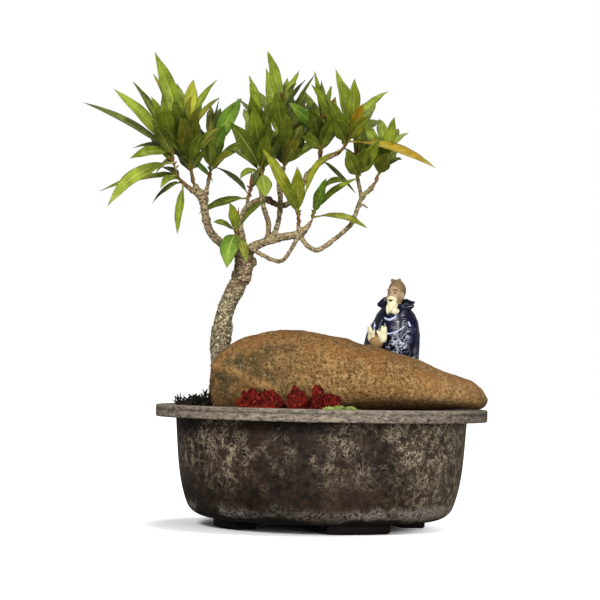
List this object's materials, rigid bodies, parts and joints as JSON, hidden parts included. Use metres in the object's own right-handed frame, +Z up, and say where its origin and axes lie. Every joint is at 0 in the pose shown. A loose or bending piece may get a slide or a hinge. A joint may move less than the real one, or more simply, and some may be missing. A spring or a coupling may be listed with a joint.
{
  "type": "ficus neriifolia bonsai",
  "caption": "Small willow-leaved ficus bonsai in a round brown training pot, with a slanting trunk behind a long sandstone rock, red lava stones and a glazed clay figure.",
  "frame": {"origin": "middle of the bounding box at the floor, on the plane of the pot's feet; the pot's axis lies 26.2 mm along +X from it", "axes": "+Z up, front with the rock and the lava stones towards -Y, the side that the trunk leans to towards +X"},
  "size_m": [0.2556, 0.2032, 0.3001],
  "materials": {
    "brown_plastic": "moulded, weathered, with pale lime deposits",
    "soil_mix": "dark gritty bonsai soil",
    "sandstone": "rough ochre sandstone",
    "red_lava": "porous dark red lava",
    "bark": "rough grey-tan bark",
    "leaf_green": "leathery, slightly glossy leaves",
    "blue_glaze": "glossy glazed clay"
  },
  "bodies": {
    "root": {"pot": "brown_plastic", "soil": "soil_mix", "rock": "sandstone", "trunk": "bark", "figurine": "blue_glaze", "lava_stone_1": "red_lava", "lava_stone_2": "red_lava", "lava_stone_3": "red_lava", "lava_stone_4": "red_lava", "lava_stone_5": "red_lava", "spray_left_outer": "leaf_green", "spray_left_main": "leaf_green", "spray_left_inner": "leaf_green", "spray_fork": "leaf_green", "spray_centre_left": "leaf_green", "spray_centre_main": "leaf_green", "spray_centre_right": "leaf_green", "spray_low_left": "leaf_green", "spray_low_right": "leaf_green", "spray_trunk_top": "leaf_green", "spray_right_inner": "leaf_green", "spray_right_low": "leaf_green", "spray_right_outer": "leaf_green"}
  },
  "joints": []
}
